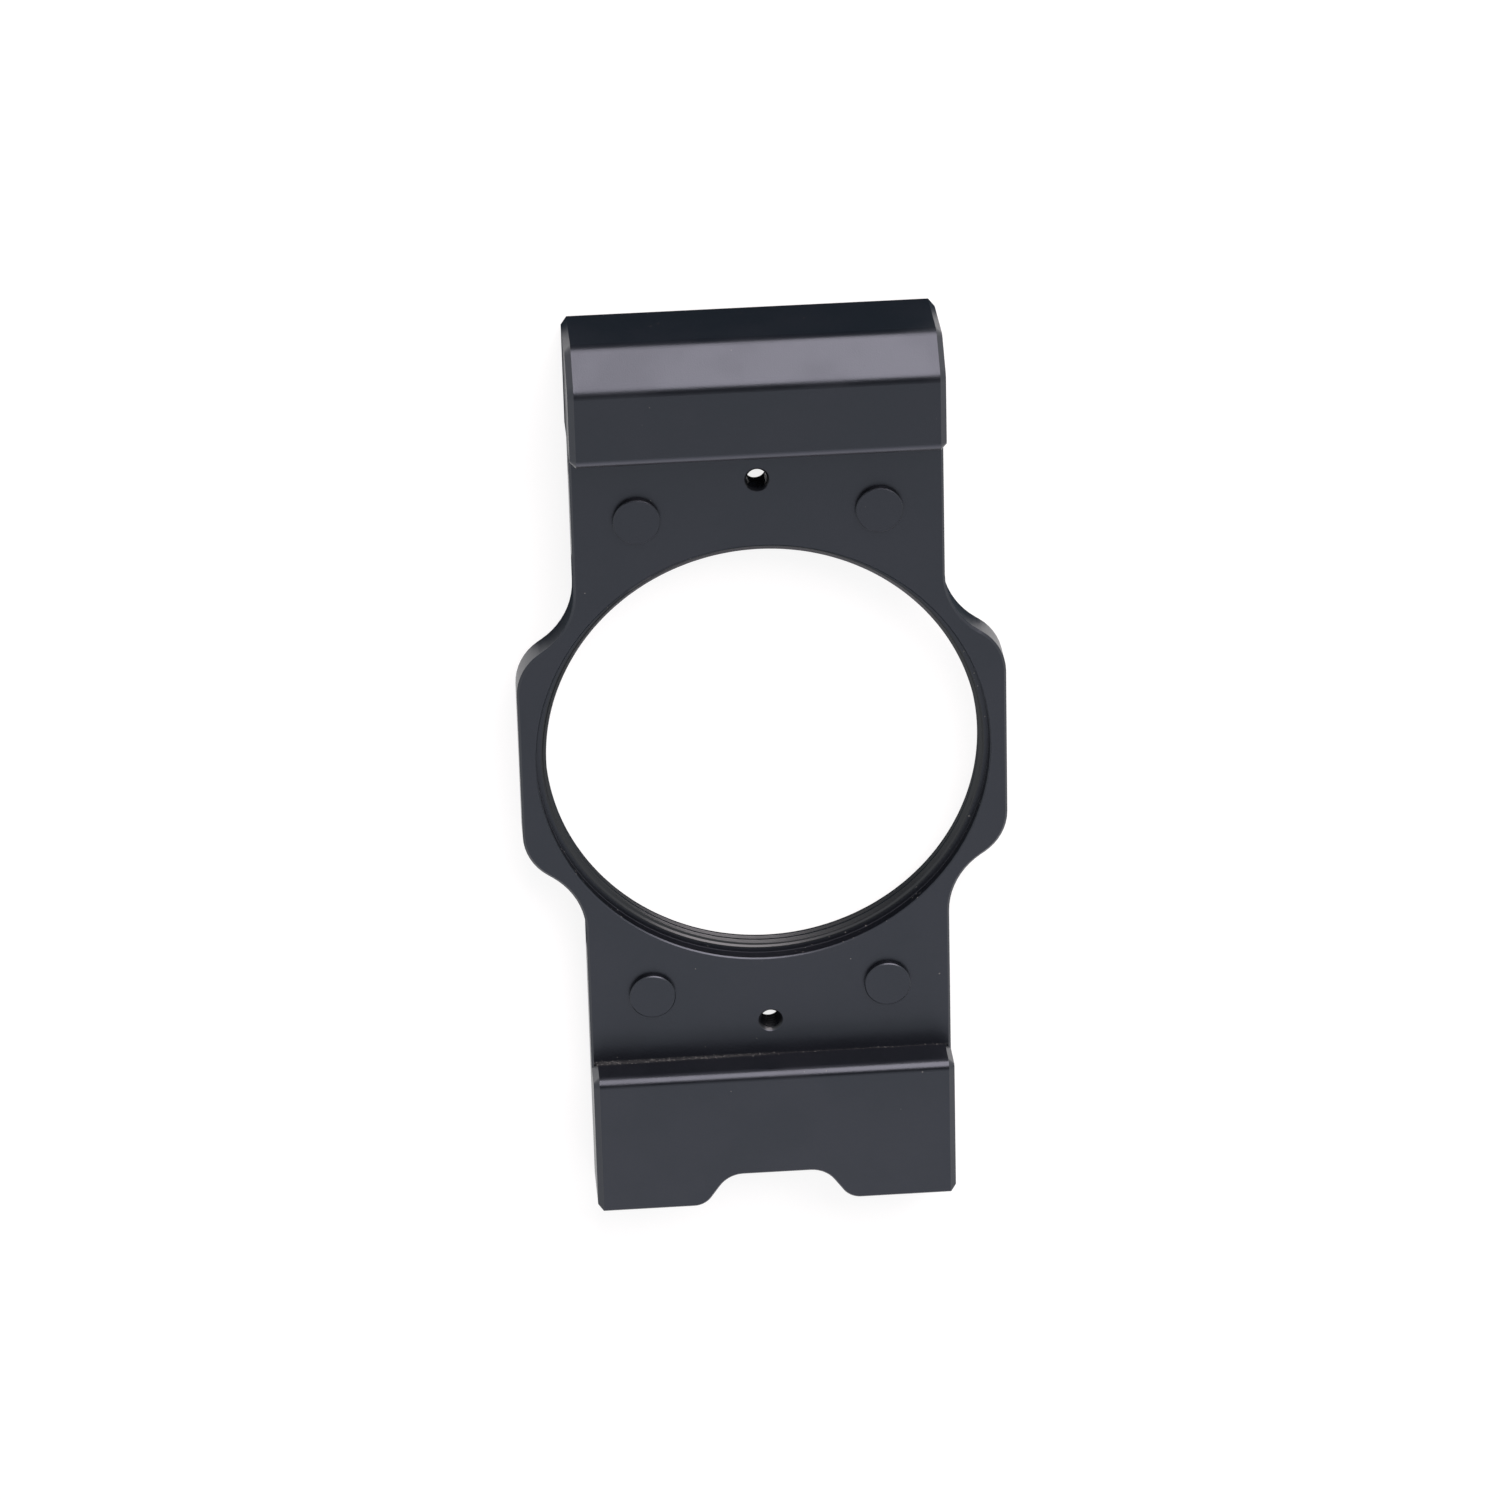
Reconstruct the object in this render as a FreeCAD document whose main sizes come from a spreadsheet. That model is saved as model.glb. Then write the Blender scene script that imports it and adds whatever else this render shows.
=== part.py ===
import FreeCAD, Part
import Sketcher
import os

# Lens mounting bracket, milled from one piece of aluminium and anodised.
# X runs across it, +Y along it towards the head, and +Z out of its front face.
# The origin is the middle of the lens hole, on the plate's back face.

DOC_NAME = "lens_mounting_bracket"
NODE = "bracket"
NEAR = 1e-4

# Name, size in millimetres, what it measures
SIZES = [
    ("plate_width", 30.6, "plate, head and lip from side to side"),
    ("plate_thickness", 3.0, "front face to back face"),
    ("edge_break", 0.2, "chamfer round the plate's outline"),
    ("ear_rim", 1.4, "metal between the lens seat and the ear's outer side"),
    ("ear_root_rim", 1.1, "along Y, from the lens seat to the ear's root on the plate's side"),
    ("ear_slope", 3.4, "slanted side of an ear, along Y"),
    ("ear_corner_radius", 4.5, "rounding of the ear's outer corner"),
    ("ear_root_radius", 6.2, "hollow rounding between ear and side"),
    ("head_wall", 27.75, "middle of the hole to the head's wall, along Y"),
    ("lip_wall", 28.0, "middle of the hole to the lip's wall, along Y"),
    ("proud_height", 3.4, "head and lip above the plate's front face"),
    ("head_length", 9.55, "head along Y"),
    ("head_depth", 10.0, "head from front to back"),
    ("bevel_along", 2.8, "head's slanted face, along Y"),
    ("bevel_deep", 3.1, "head's slanted face, along Z"),
    ("bevel_radius", 1.4, "rounding on both edges of the slanted face"),
    ("lip_length", 12.5, "lip along Y"),
    ("wall_edge_radius", 0.8, "rounding of the walls' front edges"),
    ("side_chamfer", 0.5, "chamfer round the ends of head and lip"),
    ("notch_depth", 2.85, "notch in the lip's lower edge"),
    ("notch_top_width", 8.3, "notch at its top"),
    ("notch_mouth_width", 12.4, "notch at the lip's lower edge"),
    ("notch_top_radius", 2.5, "rounding of the notch's inner corners"),
    ("notch_mouth_radius", 1.8, "rounding of the notch's outer corners"),
    ("lip_edge", 0.12, "chamfer along the lip's lower front edge and round the notch"),
    ("thread_diameter", 37.0, "nominal diameter of the lens thread"),
    ("seat_ledge", 0.4, "how much further out than the thread the lens seat lies"),
    ("recess_depth", 1.1, "depth of the lens seat in the front face"),
    ("rim_chamfer", 0.1, "chamfer on the rim of the seat"),
    ("seat_corner", 0.03, "facet that the tool's nose leaves in the seat's inner corner"),
    ("screw_spacing", 49.6, "between the two screw holes, along Y"),
    ("screw_hole", 2.0, "nominal diameter of a tapped screw hole"),
    ("screw_rim", 0.05, "chamfer on both rims of a screw hole"),
    ("boss_across", 19.9, "between the bosses, along X"),
    ("boss_along", 43.5, "between the bosses, along Y"),
    ("boss_diameter", 3.9, "diameter of a boss"),
    ("boss_height", 0.5, "boss above the plate's front face"),
    ("boss_edge", 0.08, "chamfer on the rim of a boss"),
    ("cut_lead", 1.0, "how far a cutting profile starts outside the metal"),
]

# Places that several features share, in terms of the sizes above
HALF_WIDTH = "sizes.plate_width / 2"
SEAT = "(sizes.thread_diameter / 2 + sizes.seat_ledge)"
HALF_EAR = SEAT + " + sizes.ear_rim"
EAR_ROOT = "sqrt(" + SEAT + "^2 - (" + HALF_WIDTH + ")^2) + sizes.ear_root_rim"
EAR_CORNER = EAR_ROOT + " - sizes.ear_slope"
HEAD_WALL = "sizes.head_wall"
HEAD_TOP = "sizes.head_wall + sizes.head_length"
LIP_WALL = "-sizes.lip_wall"
LIP_BOTTOM = "-(sizes.lip_wall + sizes.lip_length)"
BACK = "0"
FACE = "sizes.plate_thickness"
FRONT = "sizes.plate_thickness + sizes.proud_height"
HEAD_BACK = "sizes.plate_thickness + sizes.proud_height - sizes.head_depth"
BEVEL_START = "sizes.head_wall + sizes.head_length - sizes.bevel_along"
BEVEL_END = "sizes.plate_thickness + sizes.proud_height - sizes.bevel_deep"
NOTCH_TOP = "-(sizes.lip_wall + sizes.lip_length - sizes.notch_depth)"
HALF_NOTCH_TOP = "sizes.notch_top_width / 2"
HALF_NOTCH_MOUTH = "sizes.notch_mouth_width / 2"


def minus(text):
    """The expression with its sign turned."""
    return "-(" + text + ")"


def write_sheet(doc):
    """The spreadsheet of driving sizes: name, value with alias, meaning."""
    sheet = doc.addObject("Spreadsheet::Sheet", "sizes")
    for row, (name, value, meaning) in enumerate(SIZES, start=1):
        sheet.set(f"A{row}", name)
        sheet.set(f"B{row}", str(value))
        sheet.set(f"C{row}", meaning)
        sheet.setAlias(f"B{row}", name)
    doc.recompute()
    return sheet


def new_sketch(body, name, role):
    """An empty sketch on one of the body's own origin planes."""
    plane = next(item for item in body.Origin.OriginFeatures if item.Role == role)
    sketch = body.newObject("Sketcher::SketchObject", name)
    sketch.AttachmentSupport = (plane, [""])
    sketch.MapMode = "FlatFace"
    return sketch


def bind(sketch, constraint, text):
    """Adds a constraint and ties its value to an expression."""
    index = sketch.addConstraint(constraint)
    name = f"held_{index}"
    sketch.renameConstraint(index, name)
    sketch.setExpression(f"Constraints.{name}", text)


def value_of(sketch, text):
    """The number that an expression gives now."""
    return float(sketch.evalExpression(text))


def draw_outline(sketch, corners):
    """A closed outline of straight lines, each corner held from the origin."""
    places = [[value_of(sketch, text) for text in corner] for corner in corners]
    points = [FreeCAD.Vector(across, up, 0) for across, up in places]
    following = points[1:] + points[:1]
    lines = [sketch.addGeometry(Part.LineSegment(*ends), False) for ends in zip(points, following)]
    for line, next_line in zip(lines, lines[1:] + lines[:1]):
        sketch.addConstraint(Sketcher.Constraint("Coincident", line, 2, next_line, 1))
    for line, corner, place in zip(lines, corners, places):
        for kind, text, number in zip(("DistanceX", "DistanceY"), corner, place):
            bind(sketch, Sketcher.Constraint(kind, line, 1, number), text)


def draw_circles(sketch, centres, diameter):
    """Circles of one diameter, each centre held from the origin."""
    radius = value_of(sketch, diameter) / 2
    for centre in centres:
        across, up = (value_of(sketch, text) for text in centre)
        circle = Part.Circle(FreeCAD.Vector(across, up, 0), FreeCAD.Vector(0, 0, 1), radius)
        curve = sketch.addGeometry(circle, False)
        for kind, text, number in zip(("DistanceX", "DistanceY"), centre, (across, up)):
            bind(sketch, Sketcher.Constraint(kind, curve, 3, number), text)
        bind(sketch, Sketcher.Constraint("Diameter", curve, 2 * radius), diameter)


def finish_feature(doc, body, feature):
    """Makes the feature the body's tip and checks that it changed the metal."""
    before = body.Shape.Volume if body.Shape.Solids else 0.0
    body.Tip = feature
    doc.recompute()
    if abs(body.Shape.Volume - before) < NEAR:
        raise RuntimeError(f"{feature.Name} changed nothing")


def pad(doc, body, sketch, name, length, symmetric=False):
    """Adds metal from a sketch, in front of it or evenly to both sides."""
    feature = body.newObject("PartDesign::Pad", name)
    feature.Profile = sketch
    feature.setExpression("Length", length)
    feature.SideType = "Symmetric" if symmetric else "One side"
    finish_feature(doc, body, feature)


def cut_through(doc, body, sketch, name):
    """Cuts a sketch right through the metal, both ways."""
    feature = body.newObject("PartDesign::Pocket", name)
    feature.Profile = sketch
    feature.Type = "ThroughAll"
    feature.SideType = "Symmetric"
    finish_feature(doc, body, feature)


def turn_out(doc, body, sketch, name):
    """Cuts a profile turned a full round about its sketch's upright axis."""
    feature = body.newObject("PartDesign::Groove", name)
    feature.Profile = sketch
    feature.ReferenceAxis = (sketch, ["V_Axis"])
    feature.Angle = 360
    finish_feature(doc, body, feature)


def edge_names(body, test):
    """Names of the body's edges whose two ends both pass the test."""
    return [
        f"Edge{number}"
        for number, edge in enumerate(body.Shape.Edges, start=1)
        if all(test(vertex.Point) for vertex in edge.Vertexes)
    ]


def ease_edges(doc, body, kind, name, edges, size_property, size):
    """Rounds or chamfers edges of the body as it stands."""
    base = body.Tip
    feature = body.newObject(f"PartDesign::{kind}", name)
    feature.Base = (base, edges)
    feature.setExpression(size_property, size)
    finish_feature(doc, body, feature)


def upright_edges(body, sketch, places):
    """Edges that run along Z at any of these places, on both sides of the long axis."""
    names = []
    for across_text, along_text in places:
        along = value_of(sketch, along_text)
        for across in (value_of(sketch, across_text), -value_of(sketch, across_text)):
            names += edge_names(
                body,
                lambda point: abs(point.x - across) < NEAR and abs(point.y - along) < NEAR,
            )
    return names


def cross_edges(body, sketch, places):
    """Edges that run along X at any of these places, given by Y and Z."""
    names = []
    for along_text, up_text in places:
        along = value_of(sketch, along_text)
        up = value_of(sketch, up_text)
        names += edge_names(
            body,
            lambda point: abs(point.y - along) < NEAR and abs(point.z - up) < NEAR,
        )
    return names


def make_plate(doc, body):
    """The flat plate with an ear on each side of the lens hole."""
    sketch = new_sketch(body, "plate_outline", "XY_Plane")
    right_side = [
        (HALF_WIDTH, LIP_BOTTOM),
        (HALF_WIDTH, minus(EAR_ROOT)),
        (HALF_EAR, minus(EAR_CORNER)),
        (HALF_EAR, EAR_CORNER),
        (HALF_WIDTH, EAR_ROOT),
        (HALF_WIDTH, HEAD_TOP),
    ]
    left_side = [(minus(across), along) for across, along in reversed(right_side)]
    draw_outline(sketch, right_side + left_side)
    pad(doc, body, sketch, "plate", "sizes.plate_thickness")

    corners = [(HALF_EAR, EAR_CORNER), (HALF_EAR, minus(EAR_CORNER))]
    roots = [(HALF_WIDTH, EAR_ROOT), (HALF_WIDTH, minus(EAR_ROOT))]
    edges = upright_edges(body, sketch, corners)
    ease_edges(doc, body, "Fillet", "ear_corners", edges, "Radius", "sizes.ear_corner_radius")
    edges = upright_edges(body, sketch, roots)
    ease_edges(doc, body, "Fillet", "ear_roots", edges, "Radius", "sizes.ear_root_radius")


def make_head(doc, body):
    """The thick upper end: a square wall below and a slanted face above."""
    sketch = new_sketch(body, "head_profile", "YZ_Plane")
    draw_outline(sketch, [
        (HEAD_WALL, HEAD_BACK),
        (HEAD_TOP, HEAD_BACK),
        (HEAD_TOP, BEVEL_END),
        (BEVEL_START, FRONT),
        (HEAD_WALL, FRONT),
    ])
    pad(doc, body, sketch, "head", "sizes.plate_width", symmetric=True)

    edges = cross_edges(body, sketch, [(HEAD_TOP, BEVEL_END), (BEVEL_START, FRONT)])
    ease_edges(doc, body, "Fillet", "bevel_rounding", edges, "Radius", "sizes.bevel_radius")


def make_lip(doc, body):
    """The raised lower end that closes the channel."""
    sketch = new_sketch(body, "lip_profile", "YZ_Plane")
    draw_outline(sketch, [
        (LIP_BOTTOM, BACK),
        (LIP_WALL, BACK),
        (LIP_WALL, FRONT),
        (LIP_BOTTOM, FRONT),
    ])
    pad(doc, body, sketch, "lip", "sizes.plate_width", symmetric=True)


def ease_ends(doc, body):
    """Rounds the walls' front edges and chamfers the ends of head and lip."""
    sizes = doc.getObject("sizes")
    edges = cross_edges(body, sizes, [(HEAD_WALL, FRONT), (LIP_WALL, FRONT)])
    ease_edges(doc, body, "Fillet", "wall_edges", edges, "Radius", "sizes.wall_edge_radius")

    head_wall = value_of(sizes, HEAD_WALL)
    lip_wall = value_of(sizes, LIP_WALL)
    side = value_of(sizes, HALF_WIDTH)
    edges = []
    for sign in (1, -1):
        edges += edge_names(
            body,
            lambda point: abs(sign * point.x - side) < NEAR and point.y > head_wall - NEAR,
        )
        edges += edge_names(
            body,
            lambda point: abs(sign * point.x - side) < NEAR and point.y < lip_wall + NEAR,
        )
    ease_edges(doc, body, "Chamfer", "end_chamfers", edges, "Size", "sizes.side_chamfer")


def ease_plate(doc, body):
    """The fine chamfer along the plate's sides and ears, front and back."""
    sizes = doc.getObject("sizes")
    side = value_of(sizes, HALF_WIDTH)
    edges = []
    for sign in (1, -1):
        for level in (value_of(sizes, BACK), value_of(sizes, FACE)):
            edges += edge_names(
                body,
                lambda point: sign * point.x > side - NEAR and abs(point.z - level) < NEAR,
            )
    ease_edges(doc, body, "Chamfer", "outline_chamfer", edges, "Size", "sizes.edge_break")


def cut_notch(doc, body):
    """The notch with slanted sides in the lip's lower edge, and the chamfer along that edge."""
    sketch = new_sketch(body, "notch_outline", "XY_Plane")
    below = LIP_BOTTOM + " - sizes.cut_lead"
    draw_outline(sketch, [
        (minus(HALF_NOTCH_MOUTH), below),
        (HALF_NOTCH_MOUTH, below),
        (HALF_NOTCH_MOUTH, LIP_BOTTOM),
        (HALF_NOTCH_TOP, NOTCH_TOP),
        (minus(HALF_NOTCH_TOP), NOTCH_TOP),
        (minus(HALF_NOTCH_MOUTH), LIP_BOTTOM),
    ])
    cut_through(doc, body, sketch, "notch")

    edges = upright_edges(body, sketch, [(HALF_NOTCH_TOP, NOTCH_TOP)])
    ease_edges(doc, body, "Fillet", "notch_top", edges, "Radius", "sizes.notch_top_radius")
    edges = upright_edges(body, sketch, [(HALF_NOTCH_MOUTH, LIP_BOTTOM)])
    ease_edges(doc, body, "Fillet", "notch_mouth", edges, "Radius", "sizes.notch_mouth_radius")

    front = value_of(sketch, FRONT)
    top = value_of(sketch, NOTCH_TOP)
    edges = edge_names(
        body,
        lambda point: abs(point.z - front) < NEAR and point.y < top + NEAR,
    )
    ease_edges(doc, body, "Chamfer", "lip_edges", edges, "Size", "sizes.lip_edge")


def cut_lens_seat(doc, body):
    """The lens hole turned in one go: chamfered rim, seat, and the bore of the thread."""
    sketch = new_sketch(body, "lens_seat_profile", "XZ_Plane")
    bore = "sizes.thread_diameter / 2"
    rim = SEAT + " + sizes.rim_chamfer"
    above = "sizes.plate_thickness + sizes.cut_lead"
    seat_floor = "sizes.plate_thickness - sizes.recess_depth"
    draw_outline(sketch, [
        ("0", above),
        (rim, above),
        (rim, FACE),
        (SEAT, "sizes.plate_thickness - sizes.rim_chamfer"),
        (SEAT, seat_floor + " + sizes.seat_corner"),
        (SEAT + " - sizes.seat_corner", seat_floor),
        (bore, seat_floor),
        (bore, "-sizes.cut_lead"),
        ("0", "-sizes.cut_lead"),
    ])
    turn_out(doc, body, sketch, "lens_seat")


def cut_screw_holes(doc, body):
    """The two small tapped holes on the long axis, with a chamfered rim on both faces."""
    radius = "sizes.screw_hole / 2"
    rim = radius + " + sizes.screw_rim"
    above = FACE + " + sizes.cut_lead"
    for name, sign in (("upper", "-"), ("lower", "")):
        sketch = new_sketch(body, f"{name}_screw_profile", "XZ_Plane")
        sketch.setExpression("AttachmentOffset.Base.z", f"{sign}sizes.screw_spacing / 2")
        doc.recompute()
        draw_outline(sketch, [
            ("0", above),
            (rim, above),
            (rim, FACE),
            (radius, FACE + " - sizes.screw_rim"),
            (radius, "sizes.screw_rim"),
            (rim, BACK),
            (rim, "-sizes.cut_lead"),
            ("0", "-sizes.cut_lead"),
        ])
        turn_out(doc, body, sketch, f"{name}_screw_hole")


def make_bosses(doc, body):
    """The four low round pads that the mounted device lies on."""
    sketch = new_sketch(body, "boss_circles", "XY_Plane")
    sketch.setExpression("AttachmentOffset.Base.z", FACE)
    signs = ("", "-")
    centres = [
        (f"{side}sizes.boss_across / 2", f"{end}sizes.boss_along / 2")
        for side in signs
        for end in signs
    ]
    draw_circles(sketch, centres, "sizes.boss_diameter")
    pad(doc, body, sketch, "bosses", "sizes.boss_height")

    top = value_of(sketch, "sizes.plate_thickness + sizes.boss_height")
    edges = edge_names(body, lambda point: abs(point.z - top) < NEAR)
    ease_edges(doc, body, "Chamfer", "boss_rims", edges, "Size", "sizes.boss_edge")


def check_document(doc, body):
    """Stops when a feature failed or the result is not one sound solid."""
    for item in doc.Objects:
        if {"Invalid", "Error"} & set(item.State):
            raise RuntimeError(f"{item.Name} failed: {item.State}")
    if body.Shape.isNull() or not body.Shape.isValid() or len(body.Shape.Solids) != 1:
        raise RuntimeError(f"{body.Label} is not one sound solid")


def main():
    doc = FreeCAD.newDocument(DOC_NAME)
    write_sheet(doc)
    body = doc.addObject("PartDesign::Body", NODE)
    body.Label = NODE
    make_plate(doc, body)
    make_head(doc, body)
    make_lip(doc, body)
    ease_ends(doc, body)
    ease_plate(doc, body)
    cut_notch(doc, body)
    cut_lens_seat(doc, body)
    cut_screw_holes(doc, body)
    make_bosses(doc, body)
    check_document(doc, body)

    os.makedirs("parts", exist_ok=True)
    body.Shape.exportStep(os.path.join("parts", NODE + ".step"))
    box = body.Shape.BoundBox
    print(f"{NODE}: volume {body.Shape.Volume:.1f} mm3, {len(body.Shape.Faces)} faces")
    print(f"x {box.XMin:.2f} {box.XMax:.2f}, y {box.YMin:.2f} {box.YMax:.2f}")
    print(f"z {box.ZMin:.2f} {box.ZMax:.2f}")


main()
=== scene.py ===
import bpy
import numpy as np
from mathutils import Matrix, Vector


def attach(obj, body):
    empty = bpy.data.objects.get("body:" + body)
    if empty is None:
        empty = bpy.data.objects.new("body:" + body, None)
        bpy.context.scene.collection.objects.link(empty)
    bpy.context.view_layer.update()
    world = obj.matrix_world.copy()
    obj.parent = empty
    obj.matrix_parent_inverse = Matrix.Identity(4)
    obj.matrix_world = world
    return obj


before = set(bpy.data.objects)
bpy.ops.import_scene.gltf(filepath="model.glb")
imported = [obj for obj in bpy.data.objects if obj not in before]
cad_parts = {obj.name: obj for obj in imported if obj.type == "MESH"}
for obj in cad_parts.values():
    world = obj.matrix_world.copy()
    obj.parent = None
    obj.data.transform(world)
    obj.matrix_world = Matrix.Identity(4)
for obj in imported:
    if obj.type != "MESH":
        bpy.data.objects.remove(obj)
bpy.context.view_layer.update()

scene = bpy.context.scene


# ---------------------------------------------------------------------------
# The bracket. One piece of aluminium, milled all over, blasted with fine glass
# beads and anodised black. The CAD solid keeps its shape and gets this finish.
# ---------------------------------------------------------------------------
BLACK = (0.0013, 0.0018, 0.0030, 1.0)
FADED_BLACK = (0.0021, 0.0024, 0.0038, 1.0)
OXIDE_IOR = 1.58
OXIDE_TINT = (0.78, 0.85, 1.0, 1.0)
BLASTED_ROUGHNESS = 0.33
ROUGHNESS_SPREAD = 0.05
GRAIN_PER_METRE = 9000.0
GRAIN_DEPTH = 0.000008
CLOUDS_PER_METRE = 160.0
CLOUD_EDGES = (0.35, 0.65)
DUST = (0.12, 0.12, 0.115, 1.0)
DUST_ROUGHNESS = 0.9

# Specks: the share of cells that hold one, then the cells in a metre and a speck's reach in cells
LOOSE_SHARE = 0.05
LOOSE_SPECKS = (1600.0, 0.11)
LIP_SHARE = 0.36
LIP_SPECKS = (10000.0, 0.75)
SEAT_SHARE = 0.13
SEAT_SPECKS = (3500.0, 0.30)

# Lint before the lip: each pair is where it starts to change and where it has changed
LIP_WALL = -0.0280
LINE_OFF_WALL = (0.00002, 0.00014)
LINE_TOP = (0.00303, 0.00313)
LINE_STRENGTH = 0.5
BAND_OFF_WALL = (0.00004, 0.00020)
BAND_TOP = (0.00300, 0.00335)
BAND_SLOPE = 0.02
BAND_END = (-0.003, 0.003)
BAND_REST = 0.1
LINT_FOOT = (0.00290, 0.00296)
HAZE_GRAIN = (0.4, 0.7)
HAZE_STRENGTH = (0.05, 0.45)

# The lens seat: radius of its middle, and radius and height of its inner corner
SEAT_MIDDLE = 0.0187
SEAT_REACH = (0.00020, 0.00024)
SEAT_FOOT = (0.0018, 0.0019)
SEAT_CORNER = (0.018885, 0.001915)
SEAT_CORNER_REACH = (0.000025, 0.000045)
SEAT_CORNER_ROUGHNESS = 0.75


def place(tree, kind, **settings):
    """Adds a node of one kind to a tree and sets its own properties."""
    node = tree.nodes.new(kind)
    for name, value in settings.items():
        setattr(node, name, value)
    return node


def feed(tree, node, values):
    """Fills a node's inputs by name or number: a socket is linked, a number or colour is set."""
    for name, value in values.items():
        if isinstance(value, bpy.types.NodeSocket):
            tree.links.new(value, node.inputs[name])
        else:
            node.inputs[name].default_value = value
    return node


def maths(tree, operation, first, second=0.5, third=0.5):
    """The result of a Math node on one, two or three values."""
    node = place(tree, "ShaderNodeMath", operation=operation)
    return feed(tree, node, {0: first, 1: second, 2: third}).outputs[0]


def off_from(tree, value, level):
    """How far value is from level, to either side."""
    return maths(tree, "ABSOLUTE", maths(tree, "SUBTRACT", value, level))


def ramp(tree, value, start, end, low=0.0, high=1.0):
    """A smooth step of value: low before start, high after end."""
    node = place(tree, "ShaderNodeMapRange", interpolation_type="SMOOTHSTEP")
    parts = {"Value": value, "From Min": start, "From Max": end, "To Min": low, "To Max": high}
    return feed(tree, node, parts).outputs["Result"]


def fade(tree, value, start, end, full=1.0):
    """A smooth step down: full before start, 0 after end."""
    return ramp(tree, value, start, end, full, 0.0)


def mixed_colour(tree, share, first, second):
    """first where share is 0, second where it is 1."""
    node = place(tree, "ShaderNodeMix", data_type="RGBA")
    return feed(tree, node, {0: share, 6: first, 7: second}).outputs[2]


def new_group(name, inputs, outputs):
    """An empty node group with named number or vector inputs and number outputs."""
    group = bpy.data.node_groups.new(name, "ShaderNodeTree")
    for label, kind in inputs:
        group.interface.new_socket(label, in_out="INPUT", socket_type=kind)
    for label in outputs:
        group.interface.new_socket(label, in_out="OUTPUT", socket_type="NodeSocketFloat")
    return group, place(group, "NodeGroupInput"), place(group, "NodeGroupOutput")


def make_grain():
    """Bead blasting: Height is fine noise, Cloud is a slow one from 0 to 1."""
    inputs = [("Place", "NodeSocketVector"), ("Grains", "NodeSocketFloat"),
              ("Clouds", "NodeSocketFloat")]
    group, given, result = new_group("bead_blasting", inputs, ["Height", "Cloud"])
    fine = place(group, "ShaderNodeTexNoise")
    feed(group, fine, {"Vector": given.outputs["Place"], "Scale": given.outputs["Grains"],
                       "Detail": 2.0, "Roughness": 0.6})
    slow = place(group, "ShaderNodeTexNoise")
    feed(group, slow, {"Vector": given.outputs["Place"], "Scale": given.outputs["Clouds"],
                       "Detail": 3.0, "Roughness": 0.55})
    cloud = ramp(group, slow.outputs[0], *CLOUD_EDGES)
    feed(group, result, {"Height": fine.outputs[0], "Cloud": cloud})
    return group


def make_dust():
    """Specks: Mask is 1 within a random part of Size of a cell's middle, in the Share of cells
    that hold a speck."""
    inputs = [("Place", "NodeSocketVector"), ("Cells", "NodeSocketFloat"),
              ("Share", "NodeSocketFloat"), ("Size", "NodeSocketFloat")]
    group, given, result = new_group("dust_specks", inputs, ["Mask"])
    cells = place(group, "ShaderNodeTexVoronoi", feature="F1")
    feed(group, cells, {"Vector": given.outputs["Place"], "Scale": given.outputs["Cells"]})
    drawn = place(group, "ShaderNodeSeparateColor")
    feed(group, drawn, {0: cells.outputs["Color"]})
    held = maths(group, "LESS_THAN", drawn.outputs[0], given.outputs["Share"])
    reach = maths(group, "MULTIPLY", drawn.outputs[1], given.outputs["Size"])
    inside = maths(group, "LESS_THAN", cells.outputs["Distance"], reach)
    feed(group, result, {"Mask": maths(group, "MULTIPLY", held, inside)})
    return group


grain_group = make_grain()
dust_group = make_dust()


def specks(tree, here, share, cells, size):
    """Mask of specks: cells of them in a metre, share of which hold one of up to size."""
    node = place(tree, "ShaderNodeGroup", node_tree=dust_group)
    feed(tree, node, {"Place": here, "Cells": cells, "Share": share, "Size": size})
    return node.outputs["Mask"]


def lint_by_lip(tree, spot, here, fluff):
    """Lint in the corner before the lip: a fine line all along it, and on the left a band up the
    wall whose top falls to the right. Specks stand in a thin haze."""
    across, along, up = spot.outputs
    off_wall = off_from(tree, along, LIP_WALL)
    line = maths(tree, "MULTIPLY", fade(tree, off_wall, *LINE_OFF_WALL, LINE_STRENGTH),
                 fade(tree, up, *LINE_TOP))
    slant = maths(tree, "MULTIPLY_ADD", across, BAND_SLOPE, up)
    band = maths(tree, "MULTIPLY", fade(tree, off_wall, *BAND_OFF_WALL),
                 fade(tree, slant, *BAND_TOP))
    band = maths(tree, "MULTIPLY", band, ramp(tree, across, *BAND_END, 1.0, BAND_REST))
    field = maths(tree, "MULTIPLY", maths(tree, "MAXIMUM", line, band),
                  ramp(tree, up, *LINT_FOOT))
    haze = maths(tree, "MULTIPLY", field, ramp(tree, fluff, *HAZE_GRAIN, *HAZE_STRENGTH))
    held = maths(tree, "MULTIPLY", field, LIP_SHARE)
    return maths(tree, "MAXIMUM", specks(tree, here, held, *LIP_SPECKS), haze)


def seat_masks(tree, spot, here):
    """Lint on the ledge and wall of the lens seat, and the rougher line that the cutter left in
    the seat's corner, both from the distance to the hole's axis and the height."""
    across, along, up = spot.outputs
    flat = feed(tree, place(tree, "ShaderNodeCombineXYZ"), {0: across, 1: along}).outputs[0]
    length = feed(tree, place(tree, "ShaderNodeVectorMath", operation="LENGTH"), {0: flat})
    radius = length.outputs["Value"]
    field = maths(tree, "MULTIPLY", fade(tree, off_from(tree, radius, SEAT_MIDDLE), *SEAT_REACH),
                  ramp(tree, up, *SEAT_FOOT))
    held = maths(tree, "MULTIPLY", field, SEAT_SHARE)
    off_side = fade(tree, off_from(tree, radius, SEAT_CORNER[0]), *SEAT_CORNER_REACH)
    off_ledge = fade(tree, off_from(tree, up, SEAT_CORNER[1]), *SEAT_CORNER_REACH)
    corner = maths(tree, "MULTIPLY", off_side, off_ledge)
    return specks(tree, here, held, *SEAT_SPECKS), corner


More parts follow.
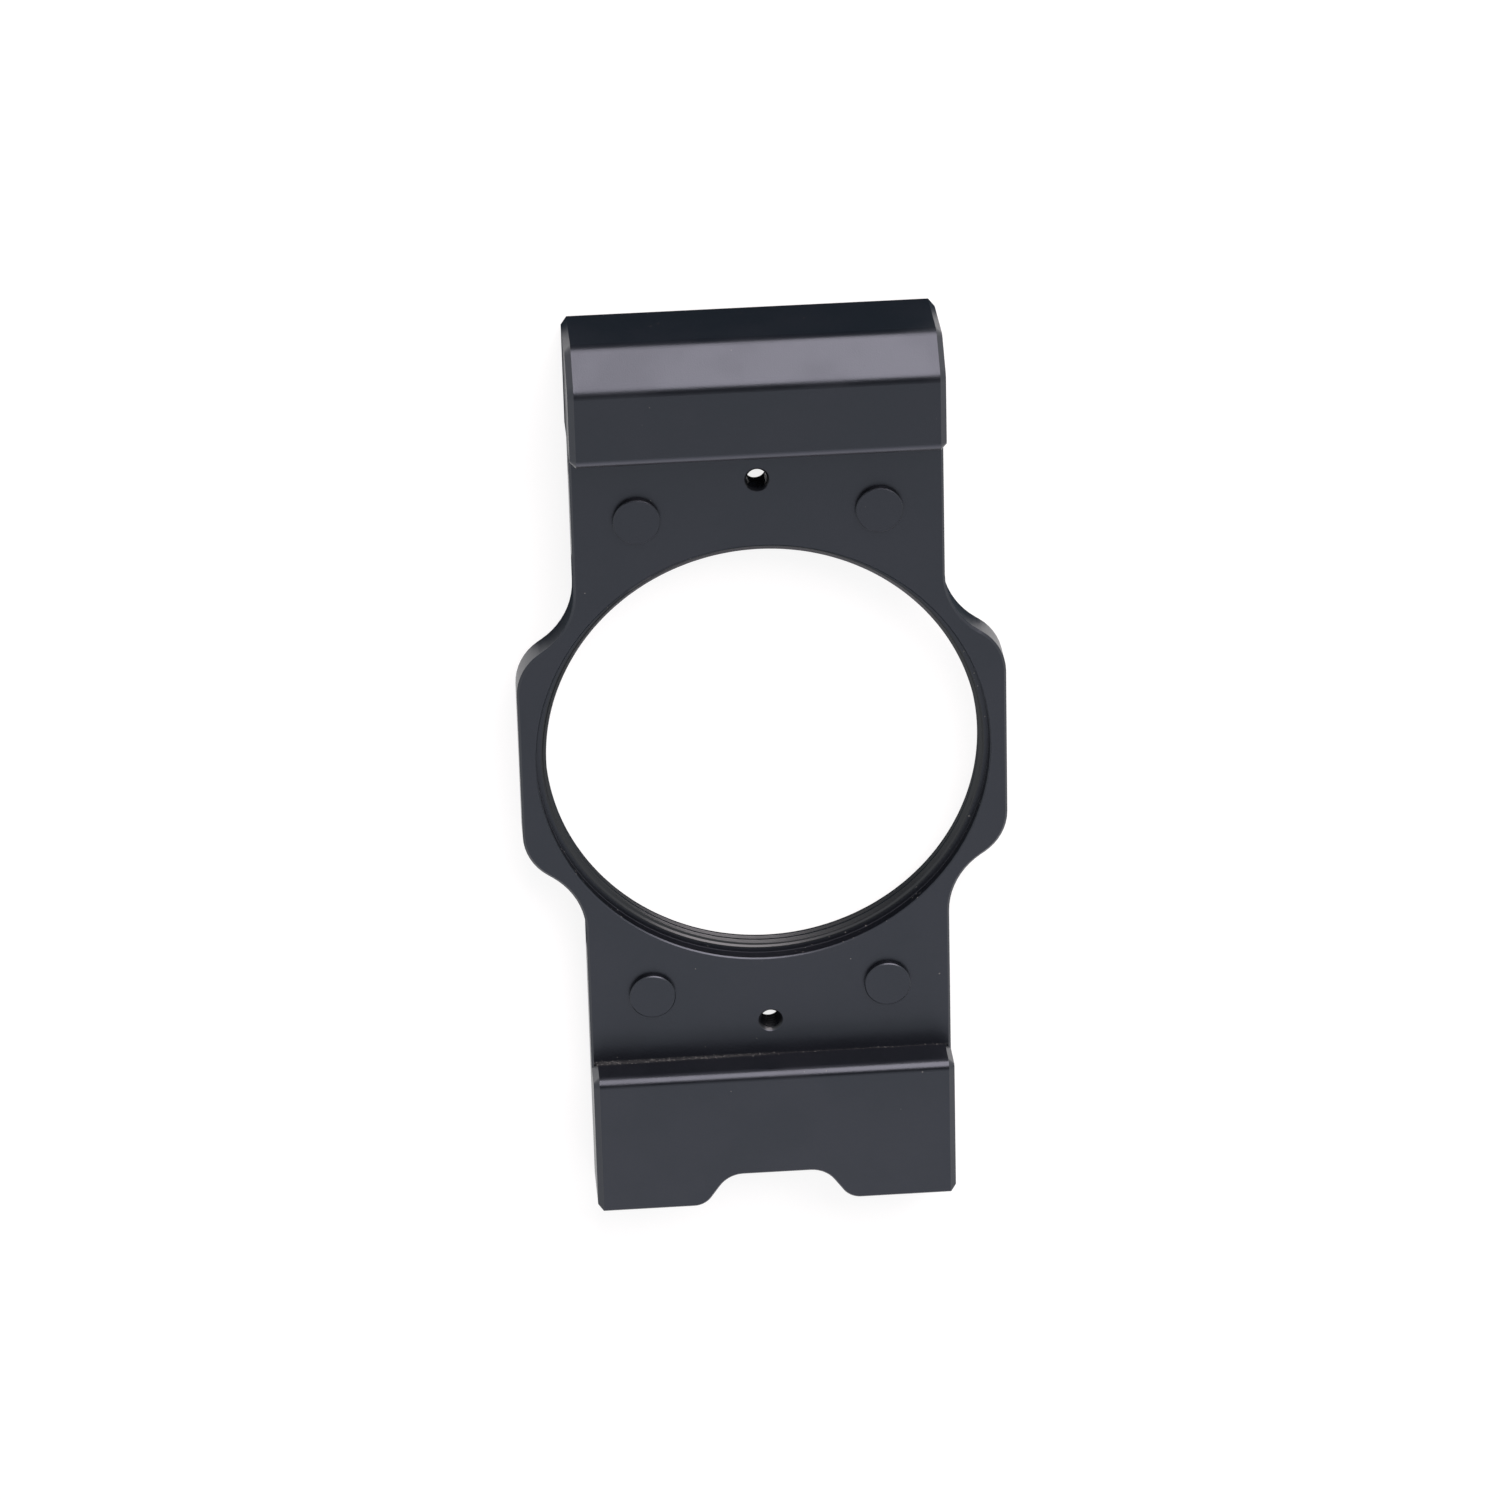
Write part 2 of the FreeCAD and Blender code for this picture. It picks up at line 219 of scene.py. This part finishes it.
def make_anodised(name, tint, roughness, grain_depth, with_lint):
    """Black anodised aluminium: near-black base, oxide gloss, blasted grain and dust."""
    material = bpy.data.materials.new(name)
    material.use_nodes = True
    tree = material.node_tree
    shader = tree.nodes["Principled BSDF"]
    here = place(tree, "ShaderNodeTexCoord").outputs["Object"]

    grain = place(tree, "ShaderNodeGroup", node_tree=grain_group)
    feed(tree, grain, {"Place": here, "Grains": GRAIN_PER_METRE, "Clouds": CLOUDS_PER_METRE})
    height, cloud = grain.outputs["Height"], grain.outputs["Cloud"]
    dusty = specks(tree, here, LOOSE_SHARE, *LOOSE_SPECKS)
    spread = ROUGHNESS_SPREAD / 2
    satin = ramp(tree, cloud, 0.0, 1.0, roughness - spread, roughness + spread)
    if with_lint:
        spot = feed(tree, place(tree, "ShaderNodeSeparateXYZ"), {0: here})
        seat_lint, seat_corner = seat_masks(tree, spot, here)
        dusty = maths(tree, "MAXIMUM", dusty, seat_lint)
        dusty = maths(tree, "MAXIMUM", dusty, lint_by_lip(tree, spot, here, height))
        rough = maths(tree, "MULTIPLY", seat_corner, SEAT_CORNER_ROUGHNESS)
        satin = maths(tree, "MAXIMUM", satin, rough)

    black = mixed_colour(tree, cloud, BLACK, FADED_BLACK)
    bump = place(tree, "ShaderNodeBump")
    feed(tree, bump, {"Height": height, "Distance": grain_depth, "Strength": 1.0})
    feed(tree, shader, {
        "Base Color": mixed_colour(tree, dusty, black, DUST),
        "Roughness": ramp(tree, dusty, 0.0, 1.0, satin, DUST_ROUGHNESS),
        "IOR": OXIDE_IOR,
        "Specular Tint": tint,
        "Normal": bump.outputs[0],
    })
    return material


black_anodised = make_anodised("black_anodised", OXIDE_TINT, BLASTED_ROUGHNESS, GRAIN_DEPTH, True)
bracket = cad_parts["bracket"]
bracket.material_slots[0].material = black_anodised


# ---------------------------------------------------------------------------
# The lens thread. Fine right-hand turns, M37 x 0.75, cut in the bracket's own
# metal from the lens seat to the back and anodised with it. Both ends are
# chamfered, and the front chamfer stops at a small step.
# ---------------------------------------------------------------------------
LENS_PITCH = 0.00075
LENS_CREST = 0.01805
LENS_ROOT = 0.01843
LENS_WALL = (0.000004, 0.001896)
LENS_BACK_LEAD = (0.01815, 1.0, 0.0002)
LENS_FRONT_LEAD = (0.018405, 1.0, 0.00014)
LENS_START = 0.740
LENS_SHARES = (0.28, 0.13)
LENS_ROWS = 360
LENS_COLUMNS = 150
BEHIND_LENS_THREAD = 0.01855
THREAD_TINT = (0.78, 0.82, 0.85, 1.0)
THREAD_ROUGHNESS = 0.30
SHARP_ANGLE = 0.6


def thread_wall(rows, height, pitch, crest, root, shares, start=0.0):
    """Radius of a threaded wall by turn and height: a trapezoid wave whose phase is the height
    in pitches less the turn. shares are the crest's and the root's part of the pitch, and the
    two straight flanks have the rest."""
    turn = (np.arange(rows) / rows)[:, None]
    from_crest = np.abs(np.mod(height[None, :] / pitch - turn + start, 1.0) - 0.5)
    flank = (1.0 - shares[0] - shares[1]) / 2
    rise = np.clip((0.5 - shares[1] / 2 - from_crest) / flank, 0.0, 1.0)
    return root + (crest - root) * rise


def with_leads(radius, height, back_lead, front_lead):
    """The wall opened by a cone at each end. A lead is the cone's radius at the end, its slope
    and its height, and within that height the wall is never nearer the axis than the cone,
    whose radius is the end's less slope times depth."""
    for (widest, fall, reach), depth in ((back_lead, height - height[0]),
                                         (front_lead, height[-1] - height)):
        cone = np.where(depth <= reach, widest - fall * depth, 0.0)
        radius = np.maximum(radius, cone[None, :])
    return radius


def turned_ring(name, wall, height, outside, centre=(0.0, 0.0)):
    """A closed ring from a table of radii, rows round the axis and columns up the wall, backed
    by a plain cylinder. Each corner joins the next row and column, and both ways it closes."""
    rows = wall.shape[0]
    radius = np.concatenate([wall, np.full((rows, 2), outside)], axis=1)
    level = np.concatenate([height, height[[-1, 0]]])[None, :].repeat(rows, axis=0)
    angle = (2 * np.pi * np.arange(rows) / rows)[:, None]
    across, along = centre[0] + radius * np.cos(angle), centre[1] + radius * np.sin(angle)
    points = np.stack([across, along, level], axis=-1)
    columns = radius.shape[1]
    row, column = np.meshgrid(np.arange(rows), np.arange(columns), indexing="ij")
    next_row, next_column = (row + 1) % rows, (column + 1) % columns
    corners = [row * columns + column, row * columns + next_column,
               next_row * columns + next_column, next_row * columns + column]
    quads = np.stack(corners, axis=-1).reshape(-1, 4)
    mesh = bpy.data.meshes.new(name)
    mesh.from_pydata(points.reshape(-1, 3), [], quads)
    mesh.shade_smooth()
    mesh.set_sharp_from_angle(angle=SHARP_ANGLE)
    ring = bpy.data.objects.new(name, mesh)
    scene.collection.objects.link(ring)
    ring.data.materials.append(black_thread)
    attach(ring, "root")


black_thread = make_anodised("black_thread", THREAD_TINT, THREAD_ROUGHNESS, GRAIN_DEPTH / 2, False)
lens_height = np.linspace(*LENS_WALL, LENS_COLUMNS)
lens_wall = thread_wall(LENS_ROWS, lens_height, LENS_PITCH, LENS_CREST, LENS_ROOT,
                        LENS_SHARES, LENS_START)
lens_wall = with_leads(lens_wall, lens_height, LENS_BACK_LEAD, LENS_FRONT_LEAD)
turned_ring("lens_thread", lens_wall, lens_height, BEHIND_LENS_THREAD)


# ---------------------------------------------------------------------------
# The screw threads. Two holes through the plate, one above and one below the
# lens hole, tapped M2 x 0.4 in the bracket's own metal. The tap left a chamfer
# at the front and a longer runout at the back.
# ---------------------------------------------------------------------------
SCREW_PITCH = 0.0004
SCREW_CREST = 0.00085
SCREW_ROOT = 0.00090
SCREW_SHARES = (0.55, 0.15)
SCREW_WALL = (0.000055, 0.002945)
SCREW_BACK_LEAD = (0.000995, 0.39, 0.001)
SCREW_FRONT_LEAD = (0.000995, 0.8, 0.001)
SCREW_ROWS = 96
SCREW_COLUMNS = 174
BEHIND_SCREW_THREAD = 0.001015
SCREW_PLACE = 0.0248

screw_height = np.linspace(*SCREW_WALL, SCREW_COLUMNS)
screw_wall = thread_wall(SCREW_ROWS, screw_height, SCREW_PITCH, SCREW_CREST, SCREW_ROOT,
                         SCREW_SHARES)
screw_wall = with_leads(screw_wall, screw_height, SCREW_BACK_LEAD, SCREW_FRONT_LEAD)
for name, along in (("upper_screw_thread", SCREW_PLACE), ("lower_screw_thread", -SCREW_PLACE)):
    turned_ring(name, screw_wall, screw_height, BEHIND_SCREW_THREAD, (0.0, along))


# ---------------------------------------------------------------------------
# The floor. A wide white sheet under the bracket, which rests on the head's
# back lower edge and the lip's, so the sheet lies along those two lines.
# ---------------------------------------------------------------------------
HEAD_EDGE = (0.028, -0.0036)
LIP_EDGE = (-0.0405, 0.0)
FLOOR_HALF = 2.0
FLOOR_DROP = 0.000002
WHITE = (1.0, 1.0, 1.0, 1.0)
FLOOR_GLOW = 0.82
FLOOR_PAINT = (0.24, 0.24, 0.24, 1.0)
FLOOR_WHITE = (0.85, 0.85, 0.85, 1.0)

slope = (HEAD_EDGE[1] - LIP_EDGE[1]) / (HEAD_EDGE[0] - LIP_EDGE[0])


def rest_height(along):
    """Height of the two edges' plane: the lip edge's plus slope times the way along Y from it."""
    return LIP_EDGE[1] + slope * (along - LIP_EDGE[0])


floor_side = np.array([-FLOOR_HALF, FLOOR_HALF])
floor_x, floor_y = np.meshgrid(floor_side, floor_side, indexing="ij")
floor_z = rest_height(floor_y) - FLOOR_DROP
floor_points = np.stack([floor_x, floor_y, floor_z], axis=-1).reshape(-1, 3)
floor_mesh = bpy.data.meshes.new("floor")
floor_mesh.from_pydata(floor_points, [], [(0, 2, 3, 1)])
floor = bpy.data.objects.new("floor", floor_mesh)
scene.collection.objects.link(floor)


def seen_ray(tree):
    """1 for a ray from the camera, or one that a gloss or glass sends on."""
    path = place(tree, "ShaderNodeLightPath")
    gloss = maths(tree, "MAXIMUM", path.outputs["Is Camera Ray"], path.outputs["Is Glossy Ray"])
    return maths(tree, "MAXIMUM", gloss, path.outputs["Is Transmission Ray"])


white_sheet = bpy.data.materials.new("white_sheet")
white_sheet.use_nodes = True
sheet = white_sheet.node_tree
sheet.nodes.remove(sheet.nodes["Principled BSDF"])
glow = feed(sheet, place(sheet, "ShaderNodeEmission"), {"Color": WHITE, "Strength": FLOOR_GLOW})
shaded = feed(sheet, place(sheet, "ShaderNodeBsdfDiffuse"), {"Color": FLOOR_PAINT})
seen = feed(sheet, place(sheet, "ShaderNodeAddShader"), {0: glow.outputs[0], 1: shaded.outputs[0]})
plain = feed(sheet, place(sheet, "ShaderNodeBsdfDiffuse"), {"Color": FLOOR_WHITE})
either = place(sheet, "ShaderNodeMixShader")
feed(sheet, either, {0: seen_ray(sheet), 1: plain.outputs[0], 2: seen.outputs[0]})
feed(sheet, sheet.nodes["Material Output"], {"Surface": either.outputs[0]})
floor.data.materials.append(white_sheet)


# ---------------------------------------------------------------------------
# The light. White all round, a long softbox low behind the head, a weaker one
# before the lip and a black card round the camera. Slate and grey cards on the
# sheet are painted shade, seen only in reflections, so that walls which mirror
# the sheet stay as dark as they should.
# ---------------------------------------------------------------------------
ROOM_LIGHT = 0.50
LAMP_DISTANCE = 0.80
KEY_DIRECTION = (0.297, 0.864, 0.407)
KEY_SIZE = (0.68, 1.08)
KEY_POWER = 14.2
KEY_COLOUR = (1.0, 0.873, 0.875)
FILL_DIRECTION = (0.05, -0.899, 0.438)
FILL_SIZE = (0.90, 0.71)
FILL_POWER = 2.3
FILL_COLOUR = (1.0, 0.88, 0.97)

world = bpy.data.worlds.new("white_room")
world.use_nodes = True
scene.world = world
room = world.node_tree
strength = ramp(room, seen_ray(room), 0.0, 1.0, ROOM_LIGHT, 1.0)
feed(room, room.nodes["Background"], {"Color": WHITE, "Strength": strength})


def facing(place_at, aim, side_hint):
    """A turn and place whose own +X runs along side_hint and whose -Z points at aim."""
    back = (Vector(place_at) - Vector(aim)).normalized()
    side = (Vector(side_hint) - back * back.dot(Vector(side_hint))).normalized()
    turned = Matrix((side, back.cross(side), back)).transposed().to_4x4()
    turned.translation = Vector(place_at)
    return turned


def add_softbox(name, direction, size, power, colour):
    """A rectangular lamp in one direction from the lens hole's middle, turned to face it."""
    lamp = bpy.data.lights.new(name, "AREA")
    lamp.shape = "RECTANGLE"
    lamp.size, lamp.size_y = size
    lamp.energy = power
    lamp.color = colour
    softbox = bpy.data.objects.new(name, lamp)
    scene.collection.objects.link(softbox)
    spot = Vector(direction).normalized() * LAMP_DISTANCE
    softbox.matrix_world = facing(spot, (0.0, 0.0, 0.0), (1.0, 0.0, 0.0))


add_softbox("key_softbox", KEY_DIRECTION, KEY_SIZE, KEY_POWER, KEY_COLOUR)
add_softbox("fill_softbox", FILL_DIRECTION, FILL_SIZE, FILL_POWER, FILL_COLOUR)

CARD_BLACK = (0.004, 0.004, 0.005, 1.0)
# Painted shade: colours of the dark cards on the sheet, seen only in reflections
SHADE_CARD_SLATE = (0.045, 0.068, 0.088, 1.0)
SHADE_CARD_GREY = (0.45, 0.47, 0.50, 1.0)
CARD_ROUGHNESS = 0.9
CARD_GLOSS = 0.1
CAMERA_CARD_HEIGHT = 0.60
CAMERA_CARD_HALF = 0.45
CAMERA_CARD_ANGLES = (-8.0, 24.0)
SHADE_CARD_LIFT = 0.0002
# Each card on the sheet paints shade that only reflections see: half its width, where it
# starts and ends along Y, and its colour
SHADE_CARDS = {
    "back_shade_card": (0.0165, 0.0235, 0.16, SHADE_CARD_SLATE),
    "hole_shade_card": (0.0200, -0.0186, 0.0165, SHADE_CARD_SLATE),
    "screw_shade_card": (0.0040, -0.0262, -0.0237, SHADE_CARD_GREY),
}


def add_card(name, half, near, far, colour):
    """A flat card between two lines across the bracket, each given by its place along Y and its
    height. Only reflections see the card, and it casts no shadow."""
    paper = bpy.data.materials.new(name)
    paper.use_nodes = True
    feed(paper.node_tree, paper.node_tree.nodes["Principled BSDF"],
         {"Base Color": colour, "Roughness": CARD_ROUGHNESS, "Specular IOR Level": CARD_GLOSS})
    corners = [(-half, *near), (half, *near), (half, *far), (-half, *far)]
    mesh = bpy.data.meshes.new(name)
    mesh.from_pydata(corners, [], [(0, 1, 2, 3)])
    card = bpy.data.objects.new(name, mesh)
    scene.collection.objects.link(card)
    card.data.materials.append(paper)
    card.visible_camera = False
    card.visible_shadow = False
    card.visible_diffuse = False


low, high = (CAMERA_CARD_HEIGHT * np.tan(np.radians(angle)) for angle in CAMERA_CARD_ANGLES)
add_card("camera_card", CAMERA_CARD_HALF, (low, CAMERA_CARD_HEIGHT), (high, CAMERA_CARD_HEIGHT),
         CARD_BLACK)
# The cards on the sheet are painted shade, seen only in reflections
for name, (half, near, far, colour) in SHADE_CARDS.items():
    add_card(name, half, (near, rest_height(near) + SHADE_CARD_LIFT),
             (far, rest_height(far) + SHADE_CARD_LIFT), colour)


# ---------------------------------------------------------------------------
# The camera. It looks down on the bracket from above the head, with the lip
# at the foot of the picture and the bracket turned a little anticlockwise.
# ---------------------------------------------------------------------------
CAMERA_PLACE = Vector((-0.03180, 0.23404, 0.49907))
CAMERA_AIM = Vector((-0.00115, 0.00053, 0.00300))
UPWARD = Vector((0.02413, 1.0, 0.0))
FOCAL_LENGTH = 158.73
SENSOR_WIDTH = 36.0

camera_data = bpy.data.cameras.new("camera")
camera_data.lens = FOCAL_LENGTH
camera_data.sensor_width = SENSOR_WIDTH
camera = bpy.data.objects.new("camera", camera_data)
scene.collection.objects.link(camera)
sideways = (CAMERA_AIM - CAMERA_PLACE).cross(UPWARD)
camera.matrix_world = facing(CAMERA_PLACE, CAMERA_AIM, sideways)
scene.camera = camera
scene.view_settings.view_transform = "Standard"
